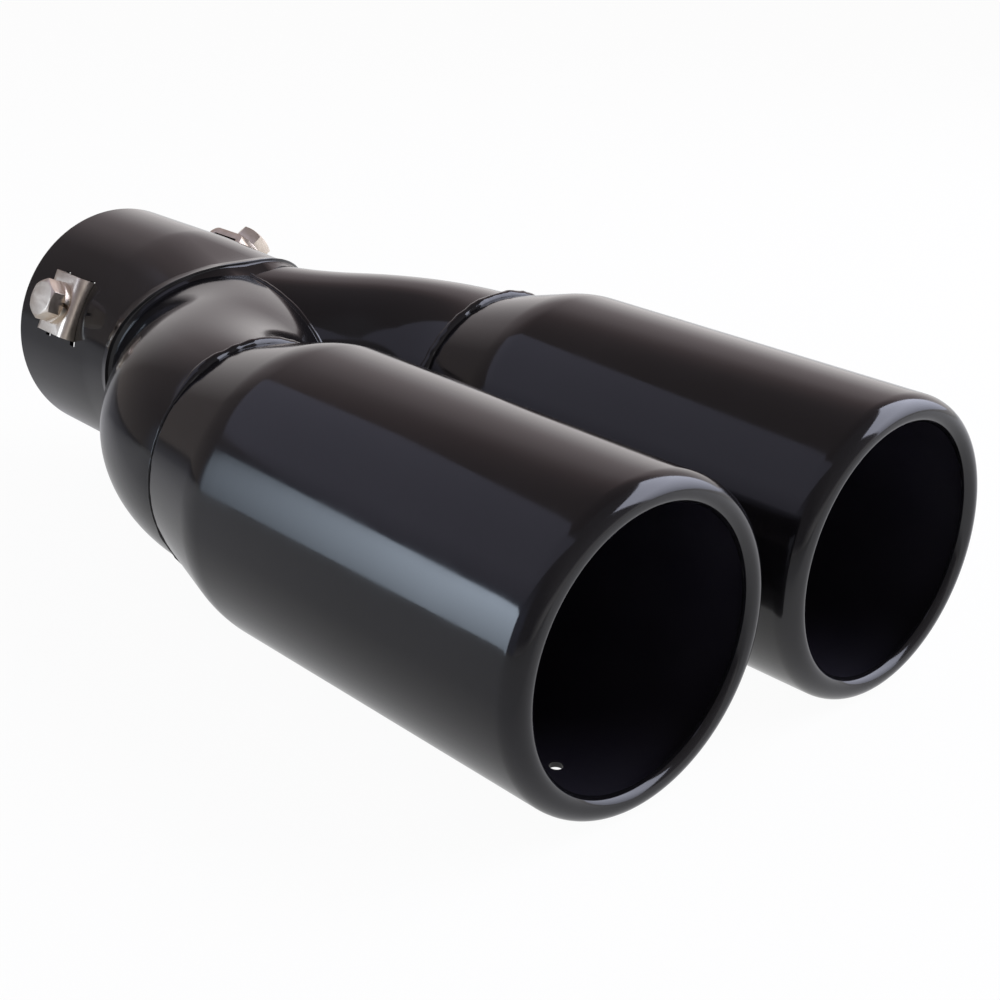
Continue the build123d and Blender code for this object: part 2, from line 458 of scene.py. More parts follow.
def select_points(piece, test):
    """Selects, in edit mode, the points whose place passes a test."""
    bpy.ops.mesh.select_mode(type="VERT")
    mesh = bmesh.from_edit_mesh(piece.data)
    for vert in mesh.verts:
        vert.select = test(vert.co)
    mesh.select_flush_mode()
    bmesh.update_edit_mesh(piece.data)


def widen_ring(piece, y):
    """Moves the halves of a ring apart, onto the two pipes' centres."""
    for side in SIDES.values():
        select_points(piece, lambda place: abs(place.y - y) < TOUCH and place.x * side > TOUCH)
        bpy.ops.transform.translate(value=(side * branch_offset, 0, 0))
    select_points(piece, lambda place: abs(place.y - y) < TOUCH)


def collar_tube(name, grow, thickness, offset):
    """Round tube and oval tube, bridged by the press. It is grown from the bore and then thickened."""
    radius = bore_radius + grow
    tube = start_ring(name, radius, (0, 0, 0))
    draw_profile([(radius, -share * collar_round_length) for share in [0] + shares(ROUND_RINGS)])
    bpy.ops.mesh.select_all(action="DESELECT")
    bpy.ops.mesh.primitive_circle_add(vertices=RING, radius=seat_radius + grow,
                                      location=(0, -collar_press_end, 0), rotation=(pi / 2, 0, 0))
    widen_ring(tube, -collar_press_end)
    for _ in range(FRONT_RINGS):
        extrude((0, -collar_front_room / FRONT_RINGS, 0))
    facing = (-collar_round_length, -collar_press_end)
    select_points(tube, lambda place: min(abs(place.y - y) for y in facing) < TOUCH)
    bpy.ops.mesh.bridge_edge_loops(type="SINGLE", number_cuts=PRESS_RINGS, interpolation="SURFACE",
                                   smoothness=press_smoothness)
    close_seams()
    thicken_coated(tube, thickness, offset)
    return tube


# %% Sizes at the clips
low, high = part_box("lower_clip")
clip_length = high.y - low.y
clip_y = (low.y + high.y) / 2
clip_width = 17.0 * MM
clip_thickness = 2.0 * MM
bolt_radius = 3.0 * MM
bolt_hole_clearance = 1.0 * MM
slot_open_side_room = 1.3 * MM
slot_tight_side_room = 0.3 * MM
slot_clearance = 0.2 * MM
CLIP_ANGLES = {"left": 156, "right": 36, "lower": 276}
print("clips are", round(clip_length / MM, 2), "mm long, at", round(clip_y / MM, 2), "mm")


# %% Cutters of the collar
def turned(piece, angle):
    """Turns a piece that was made on top of the collar to its clip's direction, about the collar's axis."""
    piece.rotation_euler = (0, radians(90 - angle), 0)
    return settle(piece, piece.name)


def fish_mouth_place():
    """Radius and Y of the cross cylinder that shapes the collar's front edge."""
    rise = -collar_front_y - collar_side_length
    half_height = seat_radius + collar_wall
    radius = (rise ** 2 + half_height ** 2) / (2 * rise)
    return radius, -collar_side_length - radius


def fish_mouth_cutter():
    """The cross cylinder, long enough to pass through both sides."""
    radius, y = fish_mouth_place()
    return cylinder("fish_mouth_cutter", 2 * RING, radius, 8 * collar_radius, (0, y, 0), (0, pi / 2, 0))


def slot_cutter(angle):
    """Two slots for a clip's legs, which lie at one end of them, and the hole for its bolt."""
    depth = collar_radius / 2
    slot_length = clip_width + slot_open_side_room + slot_tight_side_room
    slot_x = (slot_tight_side_room - slot_open_side_room) / 2
    slot_size = (slot_length, clip_thickness + 2 * slot_clearance, depth)
    hole_radius = bolt_radius + bolt_hole_clearance
    parts = []
    for end in (-1, 1):
        slot_y = clip_y + end * (clip_length - clip_thickness) / 2
        parts.append(block("slot_cutter", (slot_x, slot_y, collar_radius), slot_size))
    parts.append(cylinder("bolt_hole_cutter", HOLE_POINTS, hole_radius, depth, (0, clip_y, collar_radius)))
    return turned(join(parts), angle)


# %% Cut the collar
collar = collar_tube("inlet_collar_shell", collar_wall, collar_wall, -1)
cut_with(collar, fish_mouth_cutter())
cut_with(collar, join([slot_cutter(angle) for angle in CLIP_ANGLES.values()]))
smooth(collar)
hand_over(collar, "inlet_collar")

# %% [markdown]
# Branch pipes
# Two tubes leave the collar, bend apart and bend back, each in an S. They could be curves with a bevel, but
# on the bench a tube is pushed round a former, and spin does just that with the selected ring. The tubes get
# their walls first, and are then bisected on the middle plane, where they meet in a mitre. In the collar, a
# thick tube that starts just inside its bore cuts off what would not slide in.

# %% Sizes of the branch pipes
branch_wall = 1.5 * MM
branch_bend_start = 48.5 * MM
branch_bend_radius = 48.0 * MM
branch_middle_length = 3.0 * MM
dresser_thickness = 4.0 * MM
bends_width = 2 * branch_bend_radius
bends_cosine = (bends_width - outlet_x + branch_offset) / sqrt(bends_width ** 2 + branch_middle_length ** 2)
bend = acos(bends_cosine) - atan(branch_middle_length / bends_width)
BEND_STEPS = 40
print("pipes bend by", round(bend * 180 / pi, 2), "degrees")


# %% Bend the branch pipes
def branch_pipe(name, side):
    """S-bent tube, cut where it meets its twin. With no window, spin turns clockwise for a positive angle."""
    pipe = start_ring(name, branch_radius, (side * branch_offset, branch_start_y, 0))
    extrude((0, -branch_bend_start - branch_start_y, 0))
    first_centre = (side * (branch_offset + branch_bend_radius), -branch_bend_start, 0)
    bpy.ops.mesh.spin(steps=BEND_STEPS, angle=-side * bend, center=first_centre, axis=(0, 0, 1))
    extrude((side * branch_middle_length * sin(bend), -branch_middle_length * cos(bend), 0))
    last_centre = (side * (outlet_x - branch_bend_radius), seam_y, 0)
    bpy.ops.mesh.spin(steps=BEND_STEPS, angle=side * bend, center=last_centre, axis=(0, 0, 1))
    close_seams()
    thicken_coated(pipe, branch_wall, -1)
    edit_all()
    bpy.ops.mesh.bisect(plane_co=(0, 0, 0), plane_no=(side, 0, 0), clear_inner=True, use_fill=True)
    dresser = collar_tube("dresser", -branch_fit / 2, dresser_thickness, 1)
    cut_with(dresser, fish_mouth_cutter())
    cut_with(pipe, dresser)
    smooth(pipe)
    return pipe


for side_name, side in SIDES.items():
    hand_over(branch_pipe(side_name + "_branch_tube", side), side_name + "_branch_pipe")

# %% [markdown]
# Weld beads
# Hand-laid beads join the pipes to the outlets and to each other, under the coat. A bead could be a ring
# with bump on it, but its outline would stay smooth. Here it starts as a curve along the seam, with a radius
# at each point that swells and shrinks as the welder's hand did. The curve becomes a mesh, and a cloudy
# displacement makes it lumpy.

# %% Bead helpers
BEAD_POINTS = 420
bead_lump_size = 2.6 * MM


def lumps(place, spread):
    """Slow noise about 0 at a place, with waves as long as the spread."""
    return noise.noise(place / spread)


def swell(place, long_share, long_wave, short_share, short_wave):
    """How thick a bead is at a place, about 1, from a long and a short wave."""
    return 1 + long_share * lumps(place, long_wave) + short_share * lumps(place, short_wave)


def roughen(piece, lump_size, height):
    """Makes a piece lumpy with a cloudy displacement."""
    clouds = bpy.data.textures.new(piece.name + "_clouds", "CLOUDS")
    clouds.noise_scale = lump_size
    finish_with(piece, "DISPLACE", texture=clouds, strength=height, mid_level=0.5, texture_coords="LOCAL")
    smooth(piece, angle=60)


def bead(name, places, radii, closed, roughness):
    """Tube along a seam, thick and thin by turns, then made lumpy."""
    curve = bpy.data.curves.new(name, "CURVE")
    curve.dimensions = "3D"
    curve.bevel_depth = 1.0
    curve.bevel_resolution = 5
    curve.use_fill_caps = True
    spline = curve.splines.new("POLY")
    spline.points.add(len(places) - 1)
    for point, place, radius in zip(spline.points, places, radii):
        point.co = (*place, 1)
        point.radius = radius
    spline.use_cyclic_u = closed
    piece = bpy.data.objects.new(name, curve)
    bpy.context.scene.collection.objects.link(piece)
    pick(piece)
    bpy.ops.object.convert(target="MESH")
    piece = settle(bpy.context.object, name)
    roughen(piece, bead_lump_size, roughness)
    return piece


# %% Beads at the neck seams
outlet_bead_radius = 1.6 * MM
outlet_bead_roughness = 0.4 * MM
ground_bead_radius = 0.3 * MM
ground_half_angle = 35
ground_fade_angle = 25


def outlet_bead(name, side):
    """Bead round the neck seam, ground down to a fine line on the outer side."""
    places = []
    radii = []
    for share in shares(BEAD_POINTS):
        angle = share * 2 * pi
        place = Vector((side * (outlet_x + branch_radius * cos(angle)), seam_y, branch_radius * sin(angle)))
        away = abs((angle + pi) % (2 * pi) - pi) * 180 / pi - ground_half_angle
        full = min(max(away / ground_fade_angle, 0), 1)
        thick = swell(place, long_share=0.35, long_wave=8 * MM, short_share=0.12, short_wave=3 * MM)
        places.append(place)
        radii.append(ground_bead_radius + full * (outlet_bead_radius * thick - ground_bead_radius))
    return bead(name, places, radii, closed=True, roughness=outlet_bead_roughness)


for side_name, side in SIDES.items():
    neck_bead = outlet_bead(side_name + "_outlet_bead", side)
    hand_over(neck_bead, side_name + "_outlet_weld", black_coat)

# %% Bead along the mitre
mitre_bead_radius = 1.1 * MM
mitre_bead_sink = 0.45 * MM
mitre_bead_roughness = 0.12 * MM


def mitre_bead(name):
    """Bead along the line where the two pipes meet, from the collar round the crotch and back below."""
    arm = branch_offset + branch_bend_radius
    collar_reach = -collar_front_y - branch_bend_start
    half_turn = acos((sqrt(arm ** 2 + collar_reach ** 2) - branch_bend_radius) / branch_radius)
    height = branch_radius - mitre_bead_sink
    places = []
    radii = []
    for share in [0] + shares(BEAD_POINTS):
        turn = half_turn * (1 - 2 * share)
        reach = branch_bend_radius + height * cos(turn)
        y = -branch_bend_start - sqrt(reach ** 2 - arm ** 2)
        place = Vector((0, y, height * sin(turn)))
        places.append(place)
        thick = swell(place, long_share=0.12, long_wave=6 * MM, short_share=0.05, short_wave=2 * MM)
        radii.append(mitre_bead_radius * thick)
    return bead(name, places, radii, closed=False, roughness=mitre_bead_roughness)


hand_over(mitre_bead("branch_bead"), "branch_weld", black_coat)

# %% [markdown]
# Weld along the collar
# The weld along the collar's edge was smoothed. It swells to a soft lip over the edge and runs out on the
# pipes, far on top and shortly at the sides. A bead would look like a cord laid on the edge, so this weld is
# a strip. Oval rings are drawn with its profile, and their points are moved to follow the press of the
# collar and the curve of the fish mouth, and sunk where the two pipes part.

# %% Profile of the weld along the collar
weld_back = 5.0 * MM
weld_run_out = 9.0 * MM
weld_lip = 0.5 * MM
weld_lip_front = 0.8 * MM
weld_depth = 0.35 * MM
weld_tuck = 0.12 * MM
weld_hollow = 1.2


def weld_radius(ahead):
    """Radius of the weld's oval at a distance ahead of the collar's edge."""
    top = seat_radius + collar_wall
    bottom = branch_radius - weld_depth
    left = min(max(1 - ahead / weld_run_out, 0), 1) ** weld_hollow
    if ahead < 0:
        lip = weld_lip * (1 + ahead / weld_back) ** 2 + weld_tuck * ahead / weld_back
    else:
        lip = weld_lip * exp(-(ahead / weld_lip_front) ** 2)
    return bottom + (top - bottom) * left + lip


print("weld is highest", round(weld_radius(0) / MM, 2), "mm from a pipe's middle")


# %% Where the weld lies
def edge_y(z):
    """Y of the fish-mouthed edge at a height."""
    radius, y = fish_mouth_place()
    return y + sqrt(max(radius ** 2 - z ** 2, 0))


def pressed_share(y):
    """Share of the press from round to oval that the collar has reached at a place along it."""
    way = (-y - collar_round_length) / (collar_press_end - collar_round_length)
    way = min(max(way, 0), 1)
    return way * way * (3 - 2 * way)


def follow_press(place, start_radius):
    """Moves a point of the oval strip onto the form that the collar has at that place."""
    radius = weld_radius(-place.y)
    shift = branch_offset * radius / start_radius
    from_pipe = place.x - min(max(place.x, -shift), shift)
    pressed = pressed_share(edge_y(place.z) + max(place.y, 0))
    round_scale = (radius + collar_radius - seat_radius - collar_wall) / radius
    place.x = (1 - pressed) * from_pipe * round_scale + pressed * place.x
    place.z = (1 - pressed) * place.z * round_scale + pressed * place.z


# %% Draw the weld along the collar
WELD_RINGS = 56
weld_sink = 1.6 * MM
weld_sink_reach = 9.0 * MM
weld_side_share = 0.3
weld_full_height = 24.0 * MM
weld_thickness = 0.4 * MM
weld_lump_size = 3.5 * MM
weld_roughness = 0.12 * MM


def fit_weld(place, start_radius):
    """Moves a point of the drawn strip to its place on the collar and the pipes."""
    run_out = max(-place.y, 0) / weld_run_out
    parting = max(1 - abs(place.x) / weld_sink_reach, 0) ** 2
    sink = weld_sink * parting * run_out
    rise = min(abs(place.z) / weld_full_height, 1) ** 3
    follow_press(place, start_radius)
    if place.y < 0:
        place.y *= weld_side_share + (1 - weld_side_share) * rise
    place.y += edge_y(place.z)
    place.z -= sink if place.z > 0 else -sink


def collar_weld_strip(name):
    """Smoothed weld from the collar over its edge onto the pipes."""
    ahead = -weld_back
    start_radius = weld_radius(ahead)
    radius = start_radius
    step = (weld_back + weld_run_out) / WELD_RINGS
    strip = start_ring(name, radius, (0, -ahead, 0))
    widen_ring(strip, -ahead)
    for _ in range(WELD_RINGS):
        ahead += step
        extrude((0, -step, 0))
        scale = weld_radius(ahead) / radius
        bpy.ops.transform.resize(value=(scale, 1, scale), center_override=(0, -ahead, 0))
        radius = weld_radius(ahead)
    close_seams()
    bpy.ops.object.mode_set(mode="OBJECT")
    for vert in strip.data.vertices:
        fit_weld(vert.co, start_radius)
    finish_with(strip, "SOLIDIFY", thickness=weld_thickness, offset=-1)
    roughen(strip, weld_lump_size, weld_roughness)
    return strip


hand_over(collar_weld_strip("collar_bead"), "collar_weld", black_coat)

# %% [markdown]
# Bridge clips
# A clip is a strip of 2 mm sheet bent into a U, whose legs go through the collar's slots. It could be a block
# with its middle cut out, but then the bends would not be round. So its flat top starts as a plane, both ends
# are spun through a quarter turn, and the legs are extruded down. The clip is made once on top of the collar,
# copied, and turned to its three directions.

# %% Sizes of a clip
clip_gap = 1.0 * MM
clip_inner_bend = 0.6 * MM
clip_edge = 0.22 * MM
leg_spare = 3.0 * MM
bolt_thread_clearance = 0.05 * MM
bore_clearance = 0.1 * MM
BEND_FACES = 10
clip_bend_radius = clip_inner_bend + clip_thickness
clip_top = collar_radius + clip_gap + clip_thickness
print("clips stand", round((clip_top - collar_radius) / MM, 2), "mm proud of the collar")


# %% Bend a clip
def clip_on_top(name):
    """U-shaped bridge on top of the collar, with its tapped hole."""
    flat = clip_length - 2 * clip_bend_radius
    clip = sheet(name, (0, clip_y, clip_top), (clip_width, flat))
    bpy.ops.object.mode_set(mode="EDIT")
    leg_length = clip_top - clip_bend_radius - bore_radius + leg_spare
    for end in (-1, 1):
        end_y = clip_y + end * flat / 2
        select_points(clip, lambda place: abs(place.y - end_y) < TOUCH)
        centre = (0, end_y, clip_top - clip_bend_radius)
        bpy.ops.mesh.spin(steps=BEND_FACES, angle=end * pi / 2, center=centre, axis=(1, 0, 0))
        extrude((0, 0, -leg_length))
    close_seams()
    finish_with(clip, "SOLIDIFY", thickness=clip_thickness, offset=-1, use_even_offset=True)
    cut_with(clip, cylinder("bore_cutter", RING, bore_radius + bore_clearance, 4 * clip_length,
                            (0, clip_y, 0), (pi / 2, 0, 0)))
    cut_with(clip, cylinder("tapped_hole_cutter", HOLE_POINTS, bolt_radius + bolt_thread_clearance,
                            4 * clip_thickness, (0, clip_y, clip_top)))
    round_edges(clip, clip_edge, sharpest=50)
    smooth(clip)
    return clip


# %% Copy a piece to the three clips
def copy_to(piece, name, angle):
    """Copies a piece with its own mesh and turns the copy to a clip's direction."""
    pick(piece)
    bpy.ops.object.duplicate()
    copy = bpy.context.object
    copy.name = name
    return turned(copy, angle)


def place_three(model, name, node):
    """Copies a piece made on top of the collar to the three clips' directions."""
    for place, angle in CLIP_ANGLES.items():
        copy = copy_to(model, place + "_" + name, angle)
        hand_over(copy, place + "_" + node, bright_steel)
    bpy.data.objects.remove(model)


place_three(clip_on_top("clip_model"), "bridge_clip", "clip")

# %% [markdown]
# Bolts
# A hex bolt's head is a six-sided bar whose top was turned to a cone, which leaves a round face and curved
# corners. A bevel can't give those curves, so the bar is intersected with a cone. The shank is drawn ring by
# ring, in and out, so that its thread shows in the gap under the clip. A helix would hardly differ.

# %% Sizes of a bolt
low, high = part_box("lower_bolt")
bolt_corner = (high.y - low.y) / 2
lowest_z = low.z
washer_thickness = 1.6 * MM
bolt_head_height = 4.0 * MM
bolt_face_radius = 4.7 * MM
bolt_chamfer_angle = radians(30)
bolt_edge = 0.14 * MM
bolt_tip_room = 0.5 * MM
bolt_tip = bore_radius + bolt_tip_room
CONE_POINTS = 128
SHANK_POINTS = 64
thread_pitch = 1.0 * MM
thread_depth = 0.5 * MM
washer_top = clip_top + washer_thickness
print("a bolt head is", round(2 * bolt_corner / MM, 2), "mm across its corners")


# %% Make a bolt
def bolt_head(name):
    """Hexagon bar, tightened with a flat towards the outlets, met by a cone."""
    middle = (0, clip_y, washer_top + bolt_head_height / 2)
    foot_radius = bolt_face_radius + bolt_head_height / tan(bolt_chamfer_angle)
    head = cylinder(name, 6, bolt_corner, bolt_head_height, middle, (0, 0, pi / 6))
    fresh()
    bpy.ops.mesh.primitive_cone_add(vertices=CONE_POINTS, radius1=foot_radius, radius2=bolt_face_radius,
                                    depth=bolt_head_height, location=middle)
    cut_with(head, new_piece("chamfer_cone"), operation="INTERSECT")
    round_edges(head, bolt_edge, sharpest=20)
    return head


def bolt_shank(name):
    """Threaded shank from the head down to its tip."""
    fresh()
    bpy.ops.mesh.primitive_circle_add(vertices=SHANK_POINTS, radius=bolt_radius, fill_type="NGON",
                                      location=(0, clip_y, washer_top))
    shank = new_piece(name)
    edit_all()
    radius = bolt_radius
    height = washer_top
    turns = int((washer_top - bolt_tip) / thread_pitch)
    half_pitch = (washer_top - bolt_tip) / (2 * turns)
    for half_turn in range(2 * turns):
        target = bolt_radius - thread_depth if half_turn % 2 == 0 else bolt_radius
        scale = target / radius
        height -= half_pitch
        extrude((0, 0, -half_pitch))
        bpy.ops.transform.resize(value=(scale, scale, 1), center_override=(0, clip_y, height))
        radius = target
    bpy.ops.mesh.select_all(action="SELECT")
    bpy.ops.mesh.normals_make_consistent(inside=False)
    return shank


bolt_model = join([bolt_head("bolt_model"), bolt_shank("shank_model")])
smooth(bolt_model, angle=25)
place_three(bolt_model, "hex_bolt", "bolt")

# %% [markdown]
# Spring washers
# A split ring under each head keeps it tight. It could be a tube with a slot, but its section is what a maker
# winds: a small rectangle, which is spun right round the bolt. A thin slanted block then cuts the split.

# %% Spin a washer
washer_radius = 5.9 * MM
washer_bore_clearance = 0.2 * MM
washer_split = 1.0 * MM
washer_split_angle = radians(20)
washer_edge = 0.2 * MM
WASHER_STEPS = 96


def washer_on_top(name):
    """Split spring washer on top of the clip."""
    bore = bolt_radius + washer_bore_clearance
    middle = clip_top + washer_thickness / 2
    section = (washer_radius - bore, washer_thickness)
    washer = sheet(name, ((bore + washer_radius) / 2, clip_y, middle), section, (pi / 2, 0, 0))
    edit_all()
    bpy.ops.mesh.delete(type="ONLY_FACE")
    bpy.ops.mesh.select_all(action="SELECT")
    bpy.ops.mesh.spin(steps=WASHER_STEPS, angle=2 * pi, center=(0, clip_y, middle), axis=(0, 0, 1))
    close_seams()
    split_place = (0, clip_y - washer_radius, middle)
    split_size = (washer_split, 2 * washer_radius, 4 * washer_thickness)
    cut_with(washer, block("split_cutter", split_place, split_size, (0, washer_split_angle, 0)))
    round_edges(washer, washer_edge, sharpest=50)
    smooth(washer)
    return washer


place_three(washer_on_top("washer_model"), "split_washer", "spring_washer")

# %% [markdown]
# Floor
# The tip lies on a white table, on its lower bolt head and on both lips, so the table is laid as the plane
# through those points. White could come from strong lamps, but they would wash out the coat. Instead the
# table glows for the camera, and keeps a little of its own shading for the shadow. It also glows in the
# coat's reflections, with painted shade that dims it behind the collar and at the left, where less light
# falls.

# %% Nodes that work out numbers
def weighed(nodes, links, vector, weights):
    """Sum of a vector's parts, each with its weight."""
    dot = nodes.new("ShaderNodeVectorMath")
    dot.operation = "DOT_PRODUCT"
    dot.inputs[1].default_value = weights
    links.new(vector, dot.inputs[0])
    return dot.outputs["Value"]


def worked_out(nodes, links, operation, *values):
    """Result of an operation on sockets and plain numbers."""
    maths = nodes.new("ShaderNodeMath")
    maths.operation = operation
    for socket, value in zip(maths.inputs, values):
        if isinstance(value, float):
            socket.default_value = value
        else:
            links.new(value, socket)
    return maths.outputs[0]


def largest(nodes, links, values):
    """Largest of several numbers."""
    total = values[0]
    for value in values[1:]:
        total = worked_out(nodes, links, "MAXIMUM", total, value)
    return total


def seen_by(nodes, links, rays):
    """Number that is 1 for the kinds of ray that are named."""
    path = nodes.new("ShaderNodeLightPath")
    return largest(nodes, links, [path.outputs[ray] for ray in rays])


# %% Lay the floor
floor_slope = (-outlet_radius - lowest_z) / (lip_y + lip_outer_depth - clip_y)
table_size = 12
camera_glow_share = 0.96
mirror_glow_share = 0.75
# directions in which the coat sees the table bright, outside its painted shade
bright_left = (-0.85, -0.53, 0)
bright_right = (0.98, -0.17, 0)
bright_front = (0, -1, 0)


def floor_material():
    """White table that takes a shadow. Its glow in the coat has painted shade behind the collar and at the
    left.
    """
    material, nodes, links, shader = new_material("white_table")
    shader.inputs["Base Color"].default_value = (0.9, 0.9, 0.9, 1)
    shader.inputs["Roughness"].default_value = 0.6
    place = object_place(nodes)
    ways = [weighed(nodes, links, place, way) for way in (bright_left, bright_right, bright_front)]
    # painted shade: the glow that the coat mirrors dims behind the collar and at the left, where less light
    # falls
    behind = number_range(nodes, links, largest(nodes, links, ways), lowest=-0.1, highest=0.1,
                          at_lowest=0.1, at_highest=0.95)
    painted_shade_left = number_range(nodes, links, weighed(nodes, links, place, (1, 0, 0)), lowest=-0.12,
                          highest=-0.02, at_lowest=0.5, at_highest=1.0)
    level = worked_out(nodes, links, "MULTIPLY", behind, painted_shade_left)
    seen = seen_by(nodes, links, ["Is Camera Ray", "Is Transmission Ray"])
    mirrored = seen_by(nodes, links, ["Is Glossy Ray"])
    glow = nodes.new("ShaderNodeEmission")
    strength = worked_out(nodes, links, "MULTIPLY_ADD", mirrored, level, seen)
    links.new(strength, glow.inputs["Strength"])
    seen_glow = worked_out(nodes, links, "MULTIPLY", seen, camera_glow_share)
    share = worked_out(nodes, links, "MULTIPLY_ADD", mirrored, mirror_glow_share, seen_glow)
    mixed = nodes.new("ShaderNodeMixShader")
    links.new(share, mixed.inputs["Fac"])
    links.new(shader.outputs[0], mixed.inputs[1])
    links.new(glow.outputs[0], mixed.inputs[2])
    links.new(mixed.outputs[0], nodes["Material Output"].inputs["Surface"])
    return material


floor = sheet("table_top", (0, clip_y, lowest_z), (table_size, table_size), (atan(floor_slope), 0, 0))
floor.data.materials.append(floor_material())
print("table tilts by", round(atan(floor_slope) * 180 / pi, 2), "degrees")

# %% [markdown]
# Lights
# Two cool softboxes light the tip. A low one at the left rear gives the long band on the barrels, and a large
# one at the right front lights the lips. A pale board hangs over the left rear and draws the crisp blue field
# on the barrels. Lamps could light the tip too, but a glossy coat mirrors the lamp itself, so each light is a
# glowing panel in the shape that the coat should show. The camera doesn't see the panels.

# %% Panels of light
def glow_material(name, colour, strength, at_bottom, bottom, top, at_start=1.0, along=(1, 0, 0), start=-1.0,
                  stop=0.0):
    """Light that grows upwards from a share of its strength, and along a way from a share at its start."""
    material, nodes, links, _ = new_material(name)
    glow = nodes.new("ShaderNodeEmission")
    glow.inputs["Color"].default_value = (*colour, 1)
    place = object_place(nodes)
    height = weighed(nodes, links, place, (0, 0, 1))
    rise = number_range(nodes, links, height, bottom, top, at_bottom * strength, strength)
    fade = number_range(nodes, links, weighed(nodes, links, place, along), start, stop, at_start, 1.0)
    links.new(worked_out(nodes, links, "MULTIPLY", rise, fade), glow.inputs["Strength"])
    links.new(glow.outputs[0], nodes["Material Output"].inputs["Surface"])
    return material


def light_up(panel, material):
    """Makes a panel a light that the camera doesn't see."""
    panel.data.materials.append(material)
    panel.visible_camera = False
    print(panel.name, "glows with", material.name)


def way_to(azimuth, elevation=0.0):
    """Direction from the tip, with azimuth 0 at the outlets' end."""
    return Vector((sin(azimuth) * cos(elevation), -cos(azimuth) * cos(elevation), sin(elevation)))


def way_across(azimuth):
    """Level direction to the right, seen from an azimuth."""
    return Vector((cos(azimuth), sin(azimuth), 0))


# %% Low softbox at the left rear
low_azimuth = radians(-120)
low_distance = 0.99
low_size = (0.6, 0.42)
low_full_height = 0.8 * low_size[1]
low_place = way_to(low_azimuth) * low_distance
low_place.z = lowest_z + low_size[1] / 2
low_along = way_across(low_azimuth)
low_middle = low_place.dot(low_along)
low_glow = glow_material("low_softbox_glow", colour=(0.86, 1.0, 1.19), strength=5.9, at_bottom=0.48,
                         bottom=lowest_z, top=lowest_z + low_full_height, at_start=0.15, along=low_along,
                         start=low_middle - low_size[0] / 2, stop=low_middle)
light_up(sheet("low_softbox", low_place, low_size, (pi / 2, 0, low_azimuth)), low_glow)

# %% Large softbox at the right front
large_azimuth = radians(65)
large_elevation = radians(35)
large_distance = 1.1
large_size = (1.15, 1.2)
large_place = Vector((0, lip_y, 0)) + way_to(large_azimuth, large_elevation) * large_distance
large_glow = glow_material("large_softbox_glow", colour=(0.97, 1.0, 1.2), strength=4.5, at_bottom=0.45,
                           bottom=0.2, top=0.7)
large_turn = (pi / 2 - large_elevation, 0, large_azimuth)
light_up(sheet("large_softbox", large_place, large_size, large_turn), large_glow)

# %% Board over the left rear
board_height = 0.82
board_corners = [(0.02, 0.95), (0.02, 0.62), (-0.3, 0.05), (-0.32, -0.45), (-1.0, 0.05), (-1.6, 0.5),
                 (-1.6, 1.67)]


def hang_board(name, corners, material):
    """Adds a level panel whose corners are moved out from a small ring of points."""
    fresh()
    bpy.ops.mesh.primitive_circle_add(vertices=len(corners), radius=MM, fill_type="NGON",
                                      location=(0, 0, board_height))
    panel = new_piece(name)
    bpy.ops.object.mode_set(mode="EDIT")
    starts = [vert.co.copy() for vert in bmesh.from_edit_mesh(panel.data).verts]
    for start, (x, y) in zip(starts, corners):
        select_points(panel, lambda place: (place - start).length < TOUCH)
        bpy.ops.transform.translate(value=(x - start.x, y - start.y, 0))
    bpy.ops.object.mode_set(mode="OBJECT")
    light_up(panel, material)


board_glow = glow_material("board_glow", colour=(0.53, 0.52, 0.66), strength=1.0, at_bottom=1.0, bottom=0.0,
                           top=1.0, at_start=0.7, start=-1.6, stop=-0.9)
hang_board("pale_board", board_corners, board_glow)

# %% [markdown]
# The room
# A coat this dark is drawn by the room it mirrors. At the right rear the wall is warm, bright near the table
# and dim above. At the left it is dim all over, and in front there is a bright strip along the table. A room
# could be modelled, but its walls are never seen, so the world is built from the direction of each ray. Each
# wall is a ramp over its height, with soft steps from wall to wall. The camera sees plain white.

# %% Walls of the room
world = bpy.data.worlds.new("studio")
bpy.context.scene.world = world
world.use_nodes = True
nodes = world.node_tree.nodes
links = world.node_tree.links
direction = nodes.new("ShaderNodeTexCoord").outputs["Generated"]
sideways = weighed(nodes, links, direction, (1, 0, 0))
height = weighed(nodes, links, direction, (0, 0, 1))


def wall(levels):
    """Colour ramp over the height of a ray, from a list of (height, colour)."""
    ramp = nodes.new("ShaderNodeValToRGB")
    stops = ramp.color_ramp.elements
    for stop, (position, colour) in zip(stops, (levels[0], levels[-1])):
        stop.position = position
        stop.color = (*colour, 1)
    for position, colour in levels[1:-1]:
        stops.new(position).color = (*colour, 1)
    links.new(height, ramp.inputs["Fac"])
    return ramp.outputs["Color"]


right_wall = wall([(0.0, (1.01, 0.96, 0.96)), (0.2, (0.98, 0.92, 0.92)), (0.3, (0.86, 0.79, 0.8)),
                   (0.4, (0.7, 0.61, 0.62)), (0.56, (0.64, 0.54, 0.55)), (0.66, (0.42, 0.33, 0.33)),
                   (0.76, (0.29, 0.24, 0.24)), (1.0, (0.25, 0.21, 0.21))])
left_wall = wall([(0.0, (0.26, 0.23, 0.22)), (0.3, (0.22, 0.19, 0.19)), (0.6, (0.26, 0.22, 0.22)),
                  (1.0, (0.21, 0.18, 0.18))])
far_left_wall = wall([(0.0, (0.3, 0.31, 0.38)), (0.35, (0.34, 0.36, 0.48)), (0.45, (0.3, 0.3, 0.38)),
                      (0.8, (0.2, 0.18, 0.18))])
front_right_wall = wall([(0.0, (0.95, 0.93, 0.95)), (0.16, (0.9, 0.88, 0.9)), (0.3, (0.36, 0.34, 0.36)),
                         (1.0, (0.24, 0.22, 0.23))])
front_left_wall = wall([(0.0, (0.6, 0.58, 0.6)), (0.12, (0.2, 0.19, 0.21)), (1.0, (0.19, 0.17, 0.18))])
print("nodes for the walls:", len(nodes))


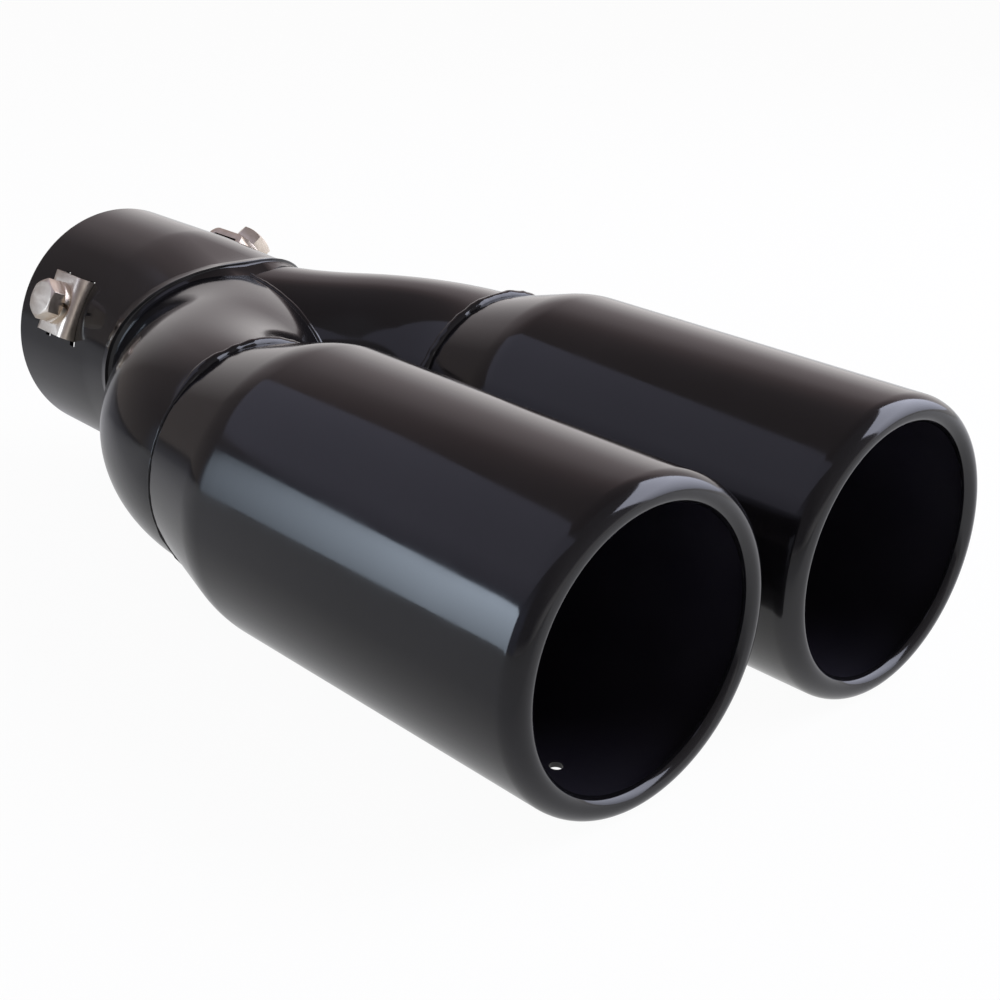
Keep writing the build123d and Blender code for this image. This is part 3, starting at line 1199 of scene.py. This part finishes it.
# %% Join the walls
def blend(share, first, second):
    """Colour between two, by a share."""
    mixer = nodes.new("ShaderNodeMix")
    mixer.data_type = "RGBA"
    links.new(share, mixer.inputs[0])
    links.new(first, mixer.inputs[6])
    links.new(second, mixer.inputs[7])
    return mixer.outputs[2]


def soft_step(weights, lowest, highest):
    """Share that goes from 0 to 1 over a range of a ray's weighed direction."""
    return number_range(nodes, links, weighed(nodes, links, direction, weights), lowest, highest, 0.0, 1.0)


brighter = nodes.new("ShaderNodeVectorMath")
brighter.operation = "SCALE"
links.new(right_wall, brighter.inputs[0])
to_the_right = number_range(nodes, links, sideways, lowest=0.3, highest=0.8, at_lowest=0.76,
                            at_highest=1.2)
links.new(to_the_right, brighter.inputs["Scale"])
left = blend(soft_step((-1, 0, 0), 0.5, 0.6), left_wall, far_left_wall)
rear = blend(soft_step((1, 0, 0.35), 0.1, 0.38), left, brighter.outputs[0])
front = blend(soft_step((1, 0, 0), -0.75, -0.35), front_left_wall, front_right_wall)
room = blend(soft_step((0, -1, 0), -0.1, 0.1), rear, front)
backdrop = nodes["Background"]
links.new(room, backdrop.inputs["Color"])
white = nodes.new("ShaderNodeBackground")
white.inputs["Color"].default_value = (1, 1, 1, 1)
mixed = nodes.new("ShaderNodeMixShader")
links.new(seen_by(nodes, links, ["Is Camera Ray"]), mixed.inputs["Fac"])
links.new(backdrop.outputs[0], mixed.inputs[1])
links.new(white.outputs[0], mixed.inputs[2])
links.new(mixed.outputs[0], nodes["World Output"].inputs["Surface"])
bpy.context.scene.view_settings.view_transform = "Standard"
print("room nodes:", len(nodes))

# %% [markdown]
# Camera
# The photo looks down a little on the outlets from the front left. A Track To constraint could aim the
# camera, but the photo is also rolled a little, so its axes are worked out from three angles. Those angles,
# the distance and the lens were found by laying the rims, the barrels and the collar over the photo.

# %% Place the camera
camera_azimuth = radians(-44.296)
camera_elevation = radians(21.606)
camera_roll = radians(3.076)
camera_distance = 465.95 * MM
camera_target = Vector((47.921, -117.073, -31.928)) * MM
camera_lens = 60.25
camera_sensor = 36

back = way_to(camera_azimuth, camera_elevation)
level = way_across(camera_azimuth)
upright = back.cross(level)
right = cos(camera_roll) * level + sin(camera_roll) * upright
up = cos(camera_roll) * upright - sin(camera_roll) * level
fresh()
bpy.ops.object.camera_add()
camera = bpy.context.object
camera.name = "photo_camera"
camera.data.lens = camera_lens
camera.data.sensor_width = camera_sensor
camera.data.clip_start = 10 * MM
turn = Matrix((right, up, back)).transposed().to_4x4()
camera.matrix_world = Matrix.Translation(camera_target + camera_distance * back) @ turn
bpy.context.scene.camera = camera
print("camera at", [round(v / MM, 1) for v in camera.matrix_world.translation], "mm")

# %% [markdown]
# At the end Nothing is left selected.

# %% Finish
fresh()
